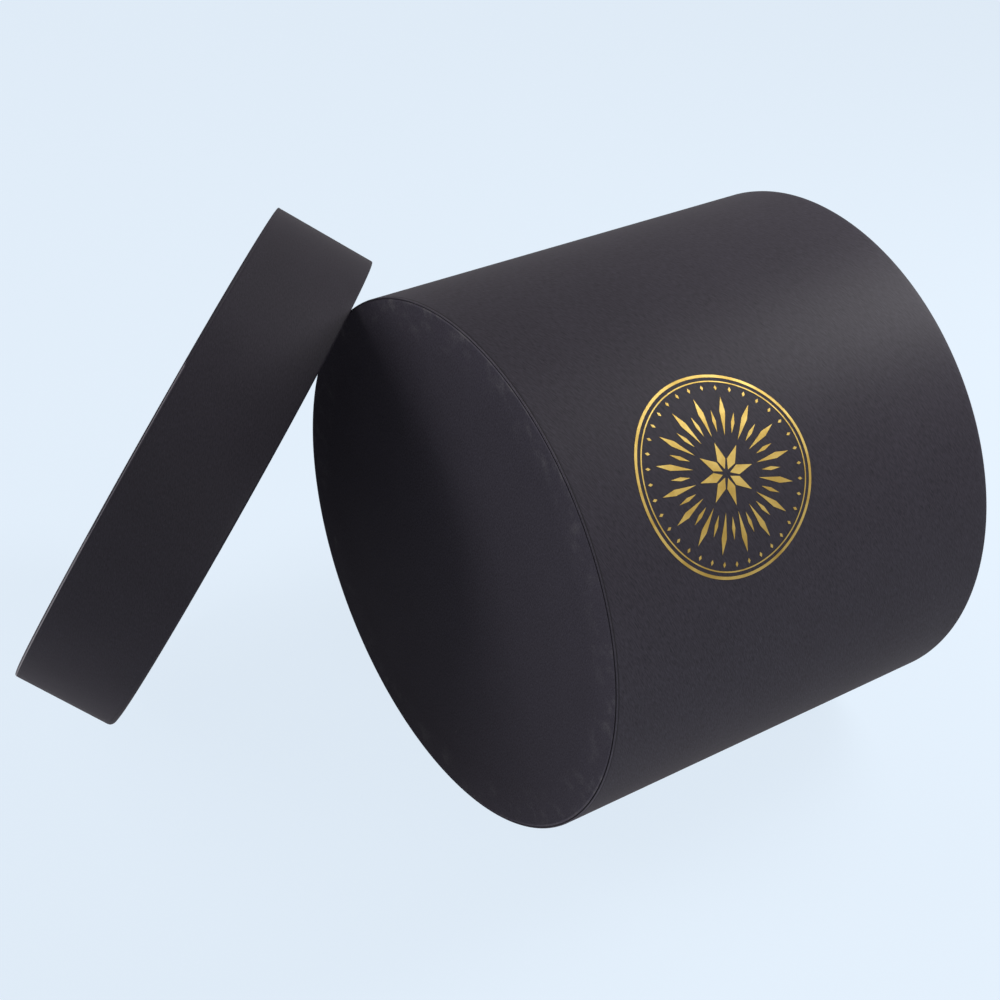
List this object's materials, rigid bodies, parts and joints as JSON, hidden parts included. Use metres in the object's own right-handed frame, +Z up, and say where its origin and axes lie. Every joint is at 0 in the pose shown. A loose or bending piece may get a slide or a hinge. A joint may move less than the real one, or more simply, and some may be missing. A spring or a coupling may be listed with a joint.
{
  "type": "cylindrical gift tube box",
  "caption": "Round rigid black paper gift box lying on its side, its lift-off lid leaning on the base edge, with a gold foil medallion on the wall.",
  "frame": {"origin": "on the floor under the middle of the bounding box of the lying box and its leaning lid", "axes": "+X along the box's axis from its base to its open mouth, +Z up, +Y towards the side that the lid leans from"},
  "size_m": [0.2748, 0.2796, 0.1806],
  "materials": {
    "black_wrap": "matte black touch paper with a fine fibre grain",
    "black_cover": "matte black touch paper on thin card",
    "greyboard": "recycled greyboard",
    "black_liner": "plain matte black lining card",
    "gold_foil": "hot-stamped gold foil"
  },
  "bodies": {
    "box": {"body_wall_board": "greyboard", "body_wrap": "black_wrap", "body_liner": "black_liner", "base_board": "greyboard", "base_cover": "black_cover", "base_liner": "black_liner", "foil_medallion": "gold_foil"},
    "lid": {"lid_skirt_board": "greyboard", "lid_wrap": "black_wrap", "lid_skirt_liner": "black_liner", "lid_top_board": "greyboard", "lid_top_cover": "black_cover", "lid_top_liner": "black_liner"}
  },
  "joints": [
    {"name": "lid_lift", "type": "slide", "parent": "box", "child": "lid", "axis": [-0.6413, 0.5897, 0.4909], "range_m": [0, 0.15]}
  ]
}
